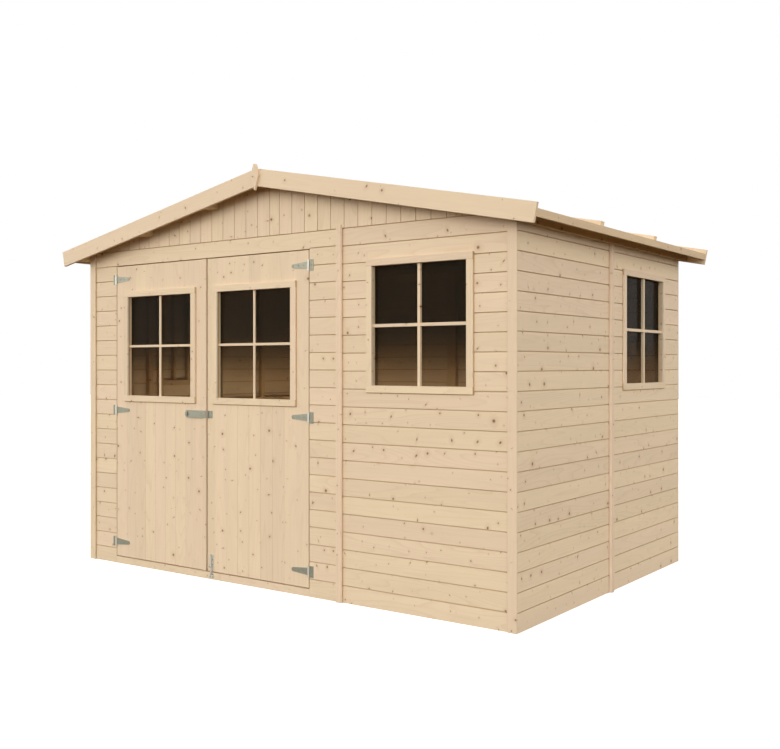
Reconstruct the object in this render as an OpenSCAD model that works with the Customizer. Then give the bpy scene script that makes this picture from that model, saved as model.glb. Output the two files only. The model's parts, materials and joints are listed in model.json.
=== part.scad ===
// Wooden garden shed with a low pitched roof, glazed double doors and two
// fixed windows. Millimetres, +Z up, front towards -Y, origin on the ground at
// the middle of the walls.

/* [Walls] */
// Width of the walls, left to right
body_w = 3025; // [2900:5:3400]
// Depth of the walls, front to back
body_d = 2056; // [2000:4:2600]
// Height of the side walls, up to the roof boards
eaves_h = 1914; // [1912:1:1985]
// Height that one wall board covers
board_pitch = 91; // [88:0.5:91]
// Thickness of the wall boards
clad_t = 12; // [10:0.5:16]
// Width of the corner boards on the front and back
corner_w = 48; // [40:1:70]
// Thickness of the corner boards
corner_t = 9; // [6:0.5:14]
// Width of the battens that cover the panel joints
batten_w = 32; // [28:1:60]
// Thickness of the batten that covers a panel joint
batten_t = 16; // [10:1:22]
// Width of the front panel to the right of the joint
right_panel_w = 1025; // [985:5:1075]
// Left end of the wall to the joint of the two back panels
back_joint = 1395; // [1200:5:1800]
// How far the front and back joint battens pass the top board line
batten_pass = 10; // [0:1:20]

/* [Framing] */
// Width of a stud or rail, seen from inside
stud_w = 36; // [28:1:44]
// Depth of a stud or rail behind the boards
stud_d = 30; // [26:1:44]
// Front face to the near side of each stud in the left wall's front panel
left_studs = [428, 519, 768];
// Front face to the near side of the thin batten on that panel
left_batten_y = 646; // [600:1:700]
// Width of the thin batten
left_batten_w = 14; // [10:1:20]
// Top of the high rail on that panel
left_rail_top = 1111; // [1020:1:1150]
// Gap at each butt joint in the framing
butt = 0.4; // [0.2:0.1:0.8]

/* [Floor] */
// Height of the bearers under the floor
bearer_h = 28; // [20:1:50]
// Width of a bearer
bearer_w = 58; // [40:1:100]
// Number of bearers, one in the middle
bearer_count = 5; // [3:2:9]
// Thickness of the floor boards
floor_t = 12; // [10:1:20]
// Left end of the wall to the joint in the door sill
sill_joint = 1140; // [600:5:1500]

/* [Roof] */
// Slope of the roof
roof_slope = 11.4; // [9:0.1:14]
// Thickness of the roof boards
deck_t = 12; // [10:0.5:18]
// Roof boards past the side walls
eaves_over = 127.5; // [90:0.5:180]
// Roof boards past the front wall
front_verge = 88; // [60:1:140]
// Roof boards past the back wall
back_verge = 80; // [60:1:140]
// Length of the middle roof panel on each slope
roof_mid_l = 712; // [600:4:900]
// Width of the strips over the roof panel joints
strip_w = 44; // [30:1:60]
// Thickness of the strips over the roof panel joints
strip_t = 25; // [10:1:30]
// End of each roof strip back from the edge of the roof boards
strip_back = 18; // [5:1:60]
// Width of a barge board
barge_w = 92; // [85:1:130]
// Thickness of a barge board
barge_t = 16; // [12:1:22]
// Barge board end past the edge of the roof boards
barge_over = 25; // [14:1:60]
// Height of the eaves fascia
fascia_h = 38; // [30:1:60]
// Thickness of the eaves fascia
fascia_t = 12; // [10:1:20]
// Width of the eaves rail against the side wall
eaves_rail_w = 28; // [20:1:40]
// Height of the eaves rail where it meets the side wall
eaves_rail_h = 56; // [40:1:80]
// Width of a purlin
purlin_w = 42; // [28:1:50]
// Depth of a purlin
purlin_h = 50; // [40:1:60]
// Middle of the building to the upper purlin
purlin_x1 = 410; // [300:5:560]
// Middle of the building to the lower purlin
purlin_x2 = 950; // [800:5:1200]
// Depth of the ridge beam
ridge_h = 50; // [44:1:80]

/* [Finials] */
// Height of a finial
finial_h = 140; // [110:1:180]
// Greatest width of a finial
finial_w = 54; // [40:1:80]
// Thickness of a finial
finial_t = 14; // [12:1:24]
// Tip of a finial above the barge boards
finial_rise = 23; // [15:1:70]

/* [Windows] */
// Width of each wall window's opening
window_w = 552; // [440:1:560]
// Height of each window opening
window_h = 596; // [450:1:600]
// Top of the side walls to the head of the wall windows
window_drop = 208; // [180:1:240]
// Front window to the left of the middle of its panel
front_window_shift = 29.5; // [0:0.5:36]
// Side window in front of the middle of the rear panel
side_window_shift = 37; // [0:1:60]
// Width of the window trim
trim_w = 35; // [30:1:44]
// Thickness of the window trim
trim_t = 10; // [6:0.5:14]
// Thickness of the glass
glass_t = 4; // [3:0.5:6]
// Wall face to the glass
glass_back = 21; // [15:0.5:24]
// Gap round the glass
glass_gap = 0.5; // [0.3:0.1:0.8]

/* [Doors] */
// Left end of the wall to the doorway
door_left = 243.5; // [200:0.5:260]
// Width of the wall between the doorway and the joint of the front panels
door_post_w = 204; // [180:1:240]
// Thickness of the door boards
leaf_t = 12; // [10:0.5:16]
// Gap round the doors and between them
door_gap = 6; // [5:0.5:9]
// Middle of the doorway to the edge of the left door
meeting_shift = 11.5; // [0:0.5:16]
// Width of the strip on the left door's meeting edge
meeting_w = 26; // [16:1:40]
// Thickness of the strip on the left door's meeting edge
meeting_t = 9; // [6:0.5:12]
// Edge of each half of the doorway to the opening of its window
door_window_side = 113.5; // [100:0.5:160]
// Right door's window to the left of the middle of its half
right_window_shift = 14; // [0:1:20]
// Top of the doors to the head of their windows
door_window_drop = 190; // [170:1:260]
// Width of the ledges and stiles behind the doors
ledge_w = 44; // [36:1:60]
// Depth of the ledges and stiles behind the doors
ledge_d = 28; // [18:1:30]
// Door framing back from the edge of the leaf
ledge_inset = 4; // [2:1:10]

/* [Hinges] */
// Lower edge of the doors to the middle of the bottom hinge
hinge_low = 86; // [60:1:200]
// Sill of the door windows to the middle of the middle hinge below it
hinge_mid = 91; // [80:1:200]
// Top of the doors to the middle of the top hinge
hinge_high = 79; // [60:1:120]
// Height of the hinge plate on the wall
hinge_plate_h = 60; // [50:1:90]
// Width of the hinge plate on the wall
hinge_plate_w = 30; // [20:1:36]
// Length of the hinge strap
strap_l = 120; // [90:1:220]
// Height of the strap at the knuckle
strap_h = 40; // [30:1:44]
// Height of the strap at its tip
strap_tip_h = 22; // [14:1:28]
// Thickness of the hinge steel
steel_t = 2.5; // [1.5:0.1:3.5]
// Radius of the knuckles
knuckle_r = 5.5; // [4.5:0.1:5.8]
// Radius of the hinge pin
pin_r = 2.5; // [1.5:0.1:3]
// Clearance round the hinge pin
pin_clear = 0.08; // [0.05:0.01:0.1]

/* [Hasp] */
// Sill of the door windows to the middle of the hasp below it
hasp_drop = 96; // [80:1:240]
// Length of the hasp strap
hasp_l = 166; // [110:1:200]
// Height of the hasp strap
hasp_h = 42; // [30:1:50]
// Width of the hasp's hinge plate
hasp_plate_w = 34; // [24:1:50]
// Length of the slot in the hasp strap
hasp_slot = 26; // [18:1:28]
// Thickness of the staple's wire
staple_t = 6; // [4:0.5:8]

/* [Bolt] */
// Edge of the right door to the middle of the bolt
bolt_x = 34; // [22:1:60]
// Width of the bolt's back plate
bolt_plate_w = 30; // [24:1:40]
// Lowest point of the bolt's back plate above the door edge
bolt_plate_z = 8; // [4:1:40]
// Free height left on the bolt's back plate above and below its knob
bolt_spare = 8; // [4:1:20]
// Radius of the bolt rod
rod_r = 4; // [3:0.1:4.5]
// Clearance round the bolt rod
rod_clear = 0.1; // [0.05:0.01:0.1]
// Travel of the bolt rod
bolt_travel = 30; // [20:1:32]
// Height of each guide on the bolt plate
guide_h = 12; // [8:1:14]
// Length of the knob on the bolt rod
knob_l = 16; // [10:1:24]
// Height of the keeper plate on the sill
keeper_h = 30; // [20:1:32]

/* [Hidden] */
$fn = 32;

// Wood and metal colours
fir = [0.87, 0.76, 0.62];
fir_shade = [0.78, 0.66, 0.5];
zinc = [0.62, 0.64, 0.63];
pane = [0.25, 0.28, 0.27, 0.5];

// Outer planes of the walls and the inner faces of their boards
x_wall = body_w / 2;
y_wall = body_d / 2;
x_in = x_wall - clad_t;
y_in = y_wall - clad_t;
floor_z = bearer_h + floor_t;

// Roof lines: height of the roof boards' lower and upper faces at x, and of the
// timbers that carry them
roof_tan = tan(roof_slope);
roof_cos = cos(roof_slope);
roof_sin = sin(roof_slope);
ridge_under = eaves_h + x_wall * roof_tan;
function under(x) = ridge_under - abs(x) * roof_tan;
function seat(x) = under(x) - 0.05;
function deck_top(x) = under(x) + deck_t / roof_cos;
function barge_top(x) = deck_top(x) + strip_t / roof_cos;
deck_x = x_wall + eaves_over;
deck_front = -y_wall - front_verge;
deck_back = y_wall + back_verge;
// Ends of the roof panels, from front to back
panel_ends = [deck_front, -roof_mid_l / 2, roof_mid_l / 2, deck_back];
last_panel = len(panel_ends) - 2;
function panel_front(i) = panel_ends[i] + (i > 0 ? butt / 2 : 0);
function panel_back(i) = panel_ends[i + 1] - (i < last_panel ? butt / 2 : 0);
ridge_w = purlin_w;

// Board lines: the gable starts at the highest whole board below the roof,
// and the doorway ends one board lower
gable_z = board_pitch * floor(eaves_h / board_pitch);
head_z = gable_z - board_pitch;

// Places along the front, from the middle
function from_left(x) = x - x_wall;
front_joint_x = x_wall - right_panel_w;
back_joint_x = from_left(back_joint);
door_x0 = from_left(door_left);
door_x1 = front_joint_x - door_post_w;
door_w = door_x1 - door_x0;
front_window_mid = x_wall - right_panel_w / 2 - front_window_shift;
side_window_mid = y_wall / 2 - side_window_shift;
window_sill_z = eaves_h - window_drop - window_h;

// Door leaves
left_edge = door_x0 + door_gap;
right_edge = door_x1 - door_gap;
left_meet = door_x0 + door_w / 2 + meeting_shift;
right_meet = left_meet + door_gap;
leaf_z0 = floor_z + door_gap;
leaf_z1 = head_z - door_gap;
door_window_w = door_w / 2 - 2 * door_window_side;
door_window_z = leaf_z1 - door_window_drop - window_h;
left_window_mid = door_x0 + door_w / 4;
right_window_mid = door_x1 - door_w / 4 - right_window_shift;
hinge_z = [leaf_z0 + hinge_low, door_window_z - hinge_mid, leaf_z1 - hinge_high];
hasp_z = door_window_z - hasp_drop;
mid_rail_z = hinge_z[1];
hinge_y = -y_wall - knuckle_r - 0.5;
left_hinge_x = door_x0 + door_gap / 2;
right_hinge_x = door_x1 - door_gap / 2;

// Box between two corners
module box(low, high) {
    translate(low) cube(high - low);
}

// Upright plate between y0 and y1, cut to an outline in x and z
module upright(y0, y1) {
    translate([0, y1, 0]) rotate([90, 0, 0]) linear_extrude(y1 - y0) children();
}

// Outline of a rectangle in x and z
module face(x0, x1, z0, z1) {
    translate([x0, z0]) square([x1 - x0, z1 - z0]);
}

// Children and their copy on the other side, mirrored left to right
module both_sides() {
    children();
    mirror([1, 0, 0]) children();
}

// Children and their copy at the other end, mirrored front to back
module both_ends() {
    children();
    mirror([0, 1, 0]) children();
}

// Children, modelled on the front, turned to the left or right wall
module on_left() {
    translate([y_wall - x_wall, 0, 0]) rotate([0, 0, -90]) children();
}
module on_right() {
    translate([x_wall - y_wall, 0, 0]) rotate([0, 0, 90]) children();
}

// Section of a purlin under the roof boards, and of the ridge beam
module purlin_section(x) {
    near = x - purlin_w / 2;
    far = x + purlin_w / 2;
    polygon([[near, seat(near)], [far, seat(far)], [far, under(far) - purlin_h],
             [near, under(near) - purlin_h]]);
}
module ridge_section() {
    half = ridge_w / 2;
    polygon([[-half, seat(half)], [0, seat(0)], [half, seat(half)],
             [half, ridge_under - ridge_h], [-half, ridge_under - ridge_h]]);
}
// Floor

module floor_boards() {
    color(fir_shade)
        box([-x_in + butt, -y_in + butt, bearer_h], [x_in - butt, y_in - butt, floor_z]);
}

module floor_bearers() {
    reach = y_in - bearer_w / 2 - butt;
    color(fir_shade)
        for (i = [0 : bearer_count - 1]) {
            y = -reach + 2 * reach * i / (bearer_count - 1);
            box([-x_in + butt, y - bearer_w / 2, 0], [x_in - butt, y + bearer_w / 2, bearer_h]);
        }
}

module door_sill() {
    joint_x = from_left(sill_joint);
    color(fir) {
        box([door_x0 + butt, -y_wall, 0], [joint_x - butt, -y_in, floor_z]);
        box([joint_x + butt, -y_wall, 0], [door_x1 - butt, -y_in, floor_z]);
    }
}

// Wall boards

module front_sheet(x0, x1, z0, z1) {
    color(fir) box([x0, -y_wall, z0], [x1, -y_in, z1]);
}

// Hole for a window, cut through what stands behind the face y = -y_wall
module window_hole(x, z, wide, deep) {
    box([x - wide / 2, -y_wall - 1, z], [x + wide / 2, -y_wall + deep + 1, z + window_h]);
}

module front_wall_left() {
    front_sheet(-x_in, door_x0, 0, gable_z);
}
module front_wall_header() {
    front_sheet(door_x0, door_x1, head_z, gable_z);
}
module front_wall_middle() {
    front_sheet(door_x1, front_joint_x - butt / 2, 0, gable_z);
}
module front_wall_window_panel() {
    difference() {
        front_sheet(front_joint_x + butt / 2, x_in, 0, gable_z);
        window_hole(front_window_mid, window_sill_z, window_w, clad_t);
    }
}

// Gable triangle of upright boards, notched for the roof timbers
module gable_sheet(y0, y1) {
    color(fir) upright(y0, y1) polygon(concat(
        [[-x_in, gable_z], [x_in, gable_z], [x_in, seat(x_in)]],
        notch(purlin_x2), notch(purlin_x1),
        [[ridge_w / 2, seat(ridge_w / 2)], [ridge_w / 2, ridge_under - ridge_h],
         [-ridge_w / 2, ridge_under - ridge_h], [-ridge_w / 2, seat(ridge_w / 2)]],
        notch(-purlin_x1), notch(-purlin_x2), [[-x_in, seat(x_in)]]));
}
// Corners of the notch for a purlin, from right to left
function notch(x) = [
    for (corner = [[1, 0], [1, 1], [-1, 1], [-1, 0]])
        let (edge = x + corner[0] * purlin_w / 2) [edge, seat(edge) - corner[1] * purlin_h]];
module front_gable() {
    gable_sheet(-y_wall, -y_in);
}
module back_gable() {
    gable_sheet(y_in, y_wall);
}

module back_wall() {
    color(fir) {
        box([-x_in, y_in, 0], [back_joint_x - butt / 2, y_wall, gable_z]);
        box([back_joint_x + butt / 2, y_in, 0], [x_in, y_wall, gable_z]);
    }
}

// Side walls of two panels each, drawn as if they faced the front. The shed's
// front is then at the left end of the right wall and the right end of the left.
module side_sheet(x0, x1) {
    color(fir) box([x0, -y_wall, 0], [x1, -y_in, eaves_h]);
}
module left_wall() {
    on_left() {
        side_sheet(-y_wall, -butt / 2);
        side_sheet(butt / 2, y_wall);
    }
}
module right_wall() {
    on_right() {
        side_sheet(-y_wall, -butt / 2);
        difference() {
            side_sheet(butt / 2, y_wall);
            window_hole(side_window_mid, window_sill_z, window_w, clad_t);
        }
    }
}

module corner_boards() {
    color(fir) both_sides() both_ends()
        box([x_wall - corner_w, -y_wall - corner_t, 0], [x_wall, -y_wall, eaves_h]);
}

// Joint battens on the four walls
module cover_battens() {
    half = batten_w / 2;
    top = gable_z + batten_pass;
    color(fir) {
        box([front_joint_x - half, -y_wall - batten_t, 0], [front_joint_x + half, -y_wall, top]);
        box([back_joint_x - half, y_wall, 0], [back_joint_x + half, y_wall + batten_t, top]);
        both_sides() box([x_wall, -half, 0], [x_wall + batten_t, half, eaves_h - eaves_rail_h]);
    }
}

// Framing. Each module draws its sticks as if the wall faced the front:
// studs and rails lie behind the boards, between y = -y_in and y = -y_frame.

y_frame = y_in - stud_d;
x_frame = x_in - stud_d;
foot_z = floor_z + stud_w;

module stick(x0, x1, z0, z1) {
    color(fir_shade)
        box([x0 + butt / 2, -y_in, z0 + butt / 2], [x1 - butt / 2, -y_frame, z1 - butt / 2]);
}
module stud(x, z0, z1) {
    stick(x, x + stud_w, z0, z1);
}

// Studs from z0 to z1 at the sides of a wall window with its sill at z, and the
// rails above and below it
module window_bay(x, z, z0, z1) {
    left = x - window_w / 2;
    right = x + window_w / 2;
    stud(left - stud_w, z0, z1);
    stud(right, z0, z1);
    stick(left, right, z - stud_w, z);
    stick(left, right, z + window_h, z + window_h + stud_w);
}

// Sloping rails and the king post inside a gable, between the roof timbers
module gable_sticks() {
    drop = stud_w / roof_cos;
    base = gable_z + butt;
    low_x = (ridge_under - drop - base) / roof_tan;
    near = max(stud_w, ridge_w) / 2 + butt;
    color(fir_shade) {
        both_sides() upright(-y_in, -y_frame) difference() {
            polygon([[near, seat(near)], [x_in, seat(x_in)], [x_in, base],
                     [low_x, base], [near, under(near) - drop]]);
            for (x = [purlin_x1, purlin_x2])
                face(x - purlin_w / 2, x + purlin_w / 2, gable_z, ridge_under);
        }
        box([-stud_w / 2, -y_in, base], [stud_w / 2, -y_frame, ridge_under - ridge_h - butt]);
    }
}

module front_frame() {
    top = gable_z - stud_w;
    // Left strip, doorway head and top rail
    stick(-x_in, door_x0, floor_z, foot_z);
    stick(door_x1, x_in, floor_z, foot_z);
    stick(-x_in, x_in, top, gable_z);
    stick(door_x0, door_x1, head_z, head_z + stud_w);
    // Studs
    stud(-x_in, foot_z, top);
    stud(door_x0 - stud_w, foot_z, top);
    stud(door_x1, foot_z, top);
    stud(front_joint_x - stud_w, foot_z, top);
    stud(front_joint_x, foot_z, top);
    stud(x_in - stud_w, foot_z, top);
    window_bay(front_window_mid, window_sill_z, foot_z, top);
    stick(-x_in + stud_w, door_x0 - stud_w, mid_rail_z, mid_rail_z + stud_w);
    stick(door_x1 + stud_w, front_joint_x - stud_w, mid_rail_z, mid_rail_z + stud_w);
    gable_sticks();
}

module back_frame() {
    top = gable_z - stud_w;
    left_mid = (-x_in + back_joint_x) / 2;
    right_mid = (x_in + back_joint_x) / 2;
    mirror([0, 1, 0]) {
        stick(-x_in, x_in, floor_z, foot_z);
        stick(-x_in, x_in, top, gable_z);
        for (x = [-x_in, left_mid - stud_w / 2, back_joint_x - stud_w, back_joint_x,
                  right_mid - stud_w / 2, x_in - stud_w])
            stud(x, foot_z, top);
        for (bay = [[-x_in + stud_w, left_mid - stud_w / 2],
                    [left_mid + stud_w / 2, back_joint_x - stud_w],
                    [back_joint_x + stud_w, right_mid - stud_w / 2],
                    [right_mid + stud_w / 2, x_in - stud_w]])
            stick(bay[0], bay[1], mid_rail_z, mid_rail_z + stud_w);
        gable_sticks();
    }
}

// Side framing, between the front and back frames: the top and bottom rails and
// the studs at the ends and the joint, then each wall's own sticks
side_top = eaves_h - stud_w;
module side_frame() {
    stick(-y_frame, y_frame, floor_z, foot_z);
    stick(-y_frame, y_frame, side_top, eaves_h);
    for (x = [-y_frame, -stud_w, 0, y_frame - stud_w]) stud(x, foot_z, side_top);
}
// Middle stud and rails of a panel whose near end is at x0 and far end at x1
module plain_bay(x0, x1) {
    mid = (x0 + x1) / 2;
    stud(mid - stud_w / 2, foot_z, side_top);
    stick(x0 + stud_w, mid - stud_w / 2, mid_rail_z, mid_rail_z + stud_w);
    stick(mid + stud_w / 2, x1 - stud_w, mid_rail_z, mid_rail_z + stud_w);
}
module left_frame() {
    rail_z = left_rail_top - stud_w;
    near = y_wall - left_studs[2];
    mid = y_wall - left_studs[1];
    batten_x = y_wall - left_batten_y;
    on_left() {
        side_frame();
        plain_bay(-y_frame, 0);
        for (y = [left_studs[0], left_studs[1]]) stud(y_wall - y - stud_w, foot_z, side_top);
        stick(stud_w, mid - stud_w, rail_z, left_rail_top);
        stud(near - stud_w, left_rail_top, side_top);
        stick(batten_x - left_batten_w, batten_x, left_rail_top, side_top);
    }
}
module right_frame() {
    on_right() {
        side_frame();
        plain_bay(-y_frame, 0);
        window_bay(side_window_mid, window_sill_z, foot_z, side_top);
    }
}

// Roof

module roof_purlins() {
    color(fir_shade) upright(deck_front, deck_back)
        for (x = [purlin_x1, purlin_x2], side = [-1, 1]) purlin_section(side * x);
}
module ridge_beam() {
    color(fir_shade) upright(deck_front, deck_back) ridge_section();
}
module eaves_rails() {
    rail_x = x_wall + eaves_rail_w;
    color(fir_shade) both_sides() upright(deck_front, deck_back)
        polygon([[x_wall, seat(x_wall)], [rail_x, seat(rail_x)],
                 [rail_x, eaves_h - eaves_rail_h], [x_wall, eaves_h - eaves_rail_h]]);
}

// Right slope, in panels that meet with a small gap
module roof_slope_panels() {
    color(fir) for (i = [0 : last_panel])
        upright(panel_front(i), panel_back(i))
            polygon([[butt / 2, under(butt / 2)], [deck_x, under(deck_x)],
                     [deck_x, deck_top(deck_x)], [butt / 2, deck_top(butt / 2)]]);
}
module roof_left() {
    mirror([1, 0, 0]) roof_slope_panels();
}
module roof_right() {
    roof_slope_panels();
}

module roof_cover_strips() {
    end_x = deck_x - strip_back;
    color(fir) both_sides() for (i = [1 : last_panel])
        upright(panel_ends[i] - strip_w / 2, panel_ends[i] + strip_w / 2)
            polygon([[butt / 2, deck_top(butt / 2)], [end_x, deck_top(end_x)],
                     [end_x + strip_t * roof_sin, deck_top(end_x) + strip_t * roof_cos],
                     [butt / 2, barge_top(butt / 2)]]);
}

// A pair of barge boards, plumb cut at the ridge and square cut at the eaves
module bargeboards(y0, y1) {
    end_x = deck_x + barge_over;
    color(fir) both_sides() upright(y0, y1)
        polygon([[butt / 2, barge_top(butt / 2)], [end_x, barge_top(end_x)],
                 [end_x - barge_w * roof_sin, barge_top(end_x) - barge_w * roof_cos],
                 [butt / 2, barge_top(butt / 2) - barge_w / roof_cos]]);
}
module front_bargeboards() {
    bargeboards(deck_front - barge_t, deck_front);
}
module rear_bargeboards() {
    bargeboards(deck_back, deck_back + barge_t);
}

// Finial: a pointed lozenge with a round top, standing in front of the barge
// boards. Widths are shares of its greatest width, heights of its height.
module finial_outline() {
    tip_r = finial_w * 0.19;
    shoulder_z = finial_h * 0.56;
    top_z = finial_h - tip_r;
    union() {
        polygon([[-finial_w * 0.06, 0], [finial_w * 0.06, 0],
                 [finial_w / 2, shoulder_z], [finial_w * 0.46, shoulder_z + finial_h * 0.06],
                 [tip_r, top_z], [-tip_r, top_z],
                 [-finial_w * 0.46, shoulder_z + finial_h * 0.06], [-finial_w / 2, shoulder_z]]);
        translate([0, top_z]) circle(r = tip_r, $fn = 40);
    }
}
module finial(y0) {
    color(fir) translate([0, 0, barge_top(0) + finial_rise - finial_h])
        upright(y0, y0 + finial_t) finial_outline();
}
module front_finial() {
    finial(deck_front - barge_t - finial_t);
}
module rear_finial() {
    finial(deck_back + barge_t);
}

// Eaves fascias, in one length to each roof panel
module eaves_fascias() {
    top = deck_top(deck_x + fascia_t);
    color(fir) both_sides() for (i = [0 : last_panel])
        box([deck_x, panel_front(i), top - fascia_h], [deck_x + fascia_t, panel_back(i), top]);
}

// Windows, drawn on the front face y = -y_wall

module window_trim(x, z, wide) {
    x0 = x - wide / 2;
    x1 = x + wide / 2;
    y0 = -y_wall - trim_t;
    color(fir) {
        for (low = [z - trim_w, z + window_h])
            box([x0 - trim_w, y0, low], [x1 + trim_w, -y_wall, low + trim_w]);
        for (left = [x0 - trim_w, x1])
            box([left, y0, z + butt], [left + trim_w, -y_wall, z + window_h - butt]);
    }
}
module window_glass(x, z, wide) {
    color(pane)
        box([x - wide / 2 + glass_gap, -y_wall + glass_back, z + glass_gap],
            [x + wide / 2 - glass_gap, -y_wall + glass_back + glass_t,
             z + window_h - glass_gap]);
}
module front_window_trim() {
    window_trim(front_window_mid, window_sill_z, window_w);
}
module right_window_trim() {
    on_right() window_trim(side_window_mid, window_sill_z, window_w);
}
module wall_window_glass() {
    window_glass(front_window_mid, window_sill_z, window_w);
    on_right() window_glass(side_window_mid, window_sill_z, window_w);
}

// Doors

module leaf_boards(x0, x1, window_x) {
    color(fir) difference() {
        box([x0, -y_wall, leaf_z0], [x1, -y_wall + leaf_t, leaf_z1]);
        window_hole(window_x, door_window_z, door_window_w, leaf_t);
    }
}

// Stiles, ledges and window rails behind a leaf
module leaf_ledges(x0, x1, window_x) {
    y0 = -y_wall + leaf_t;
    y1 = y0 + ledge_d;
    a = x0 + ledge_inset;
    b = x1 - ledge_inset;
    z0 = leaf_z0 + ledge_inset;
    z1 = leaf_z1 - ledge_inset;
    in0 = a + ledge_w + butt;
    in1 = b - ledge_w - butt;
    w0 = window_x - door_window_w / 2;
    w1 = window_x + door_window_w / 2;
    sill = door_window_z;
    head = door_window_z + window_h;
    mid = hinge_z[1];
    color(fir_shade) {
        for (x = [a, b - ledge_w]) box([x, y0, z0], [x + ledge_w, y1, z1]);
        for (z = [z0, mid - ledge_w / 2, z1 - ledge_w]) box([in0, y0, z], [in1, y1, z + ledge_w]);
        // Rails and posts that hold the glass
        box([w0, y0, sill - ledge_w / 2], [w1, y1, sill]);
        box([w0, y0, head], [w1, y1, head + ledge_w]);
        box([in0, y0, mid + ledge_w / 2 + butt], [w0 - butt, y1, z1 - ledge_w - butt]);
        box([w1 + butt, y0, mid + ledge_w / 2 + butt], [in1, y1, z1 - ledge_w - butt]);
    }
}

// Tee hinge. The wall plate carries the pin and the outer knuckles, the strap
// turns on the pin. Drawn for the left door, with the pin at the origin of x.
knuckle_gap = 0.25;
module hinge_plate(z) {
    outer_h = (hinge_plate_h - strap_h) / 2 - knuckle_gap;
    low = z - hinge_plate_h / 2;
    color(zinc) {
        box([-hinge_plate_w, -y_wall - steel_t, low],
            [-knuckle_r - 1, -y_wall, low + hinge_plate_h]);
        for (bottom = [low, low + hinge_plate_h - outer_h]) {
            translate([0, hinge_y, bottom]) cylinder(r = knuckle_r, h = outer_h);
            box([-hinge_plate_w, -y_wall - steel_t, bottom], [0, -y_wall - 0.5, bottom + outer_h]);
        }
        translate([0, hinge_y, low]) cylinder(r = pin_r, h = hinge_plate_h);
    }
}
module hinge_strap(z) {
    tip_r = strap_tip_h / 2;
    color(zinc) difference() {
        union() {
            translate([0, hinge_y, z - strap_h / 2]) cylinder(r = knuckle_r, h = strap_h);
            upright(-y_wall - steel_t, -y_wall) union() {
                polygon([[knuckle_r - 1, z - strap_h / 2], [strap_l - tip_r, z - tip_r],
                         [strap_l - tip_r, z + tip_r], [knuckle_r - 1, z + strap_h / 2]]);
                translate([strap_l - tip_r, z]) circle(r = tip_r);
            }
            box([0, -y_wall - steel_t, z - strap_h / 2],
                [knuckle_r, -y_wall - 0.5, z + strap_h / 2]);
        }
        translate([0, hinge_y, z - strap_h]) cylinder(r = pin_r + pin_clear, h = 2 * strap_h);
    }
}
module hinge_plates() {
    for (z = hinge_z) {
        translate([left_hinge_x, 0, 0]) hinge_plate(z);
        translate([right_hinge_x, 0, 0]) mirror([1, 0, 0]) hinge_plate(z);
    }
}
module left_hinge_straps() {
    for (z = hinge_z) translate([left_hinge_x, 0, 0]) hinge_strap(z);
}
module right_hinge_straps() {
    for (z = hinge_z) translate([right_hinge_x, 0, 0]) mirror([1, 0, 0]) hinge_strap(z);
}

module left_door_boards() {
    leaf_boards(left_edge, left_meet, left_window_mid);
}
module left_door_ledges() {
    leaf_ledges(left_edge, left_meet, left_window_mid);
}
module left_door_window_trim() {
    window_trim(left_window_mid, door_window_z, door_window_w);
}
module left_door_glass() {
    window_glass(left_window_mid, door_window_z, door_window_w);
}
module door_meeting_strip() {
    color(fir)
        box([left_meet - meeting_w, -y_wall - meeting_t, leaf_z0], [left_meet, -y_wall, leaf_z1]);
}
module right_door_boards() {
    leaf_boards(right_meet, right_edge, right_window_mid);
}
module right_door_ledges() {
    leaf_ledges(right_meet, right_edge, right_window_mid);
}
module right_door_window_trim() {
    window_trim(right_window_mid, door_window_z, door_window_w);
}
module right_door_glass() {
    window_glass(right_window_mid, door_window_z, door_window_w);
}

// Hasp: a slotted strap lying on the meeting strip, with the staple that comes
// through its slot, and the hinge plate with its knuckle on the right door

hasp_y = -y_wall - meeting_t;
hasp_r = steel_t * 2;

module hasp_strap() {
    end = left_meet - 1;
    start = end - hasp_l;
    tip_r = hasp_h / 2;
    slot_x = start + tip_r;
    color(zinc) {
        difference() {
            upright(hasp_y - steel_t, hasp_y) union() {
                face(start + tip_r, end, hasp_z - hasp_h / 2, hasp_z + hasp_h / 2);
                translate([start + tip_r, hasp_z]) circle(r = tip_r);
            }
            upright(hasp_y - 2 * steel_t, hasp_y + 1)
                face(slot_x - staple_t, slot_x + staple_t, hasp_z - hasp_slot / 2,
                     hasp_z + hasp_slot / 2);
        }
        // Staple: base plate, two legs and a bow
        box([slot_x - hasp_h / 2, -y_wall - steel_t, hasp_z - hasp_h / 2],
            [slot_x + hasp_h / 2, -y_wall, hasp_z + hasp_h / 2]);
        translate([slot_x, -y_wall - steel_t, hasp_z]) rotate([0, -90, 0]) rotate([0, 0, 180])
            staple();
    }
}

// Bent wire staple, as a flat bow of square wire
module staple() {
    span = hasp_slot - 2;
    reach = meeting_t + 3 * steel_t;
    translate([0, 0, -staple_t / 2]) linear_extrude(staple_t) difference() {
        union() {
            translate([-span / 2, -1]) square([span, reach - span / 2 + 1 + span / 4]);
            translate([0, reach - span / 4]) scale([1, 0.5]) circle(r = span / 2);
        }
        translate([-span / 2 + staple_t, -2]) square([span - 2 * staple_t, reach - staple_t + 2]);
    }
}

module hasp_plate() {
    x = right_meet + hasp_r + 1;
    color(zinc) {
        box([x, -y_wall - steel_t, hasp_z - hasp_h / 2],
            [x + hasp_plate_w, -y_wall, hasp_z + hasp_h / 2]);
        translate([x, -y_wall - hasp_r, hasp_z - hasp_h / 2]) cylinder(r = hasp_r, h = hasp_h);
    }
}

// Tower bolt on the right door, with its keeper on the sill

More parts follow.
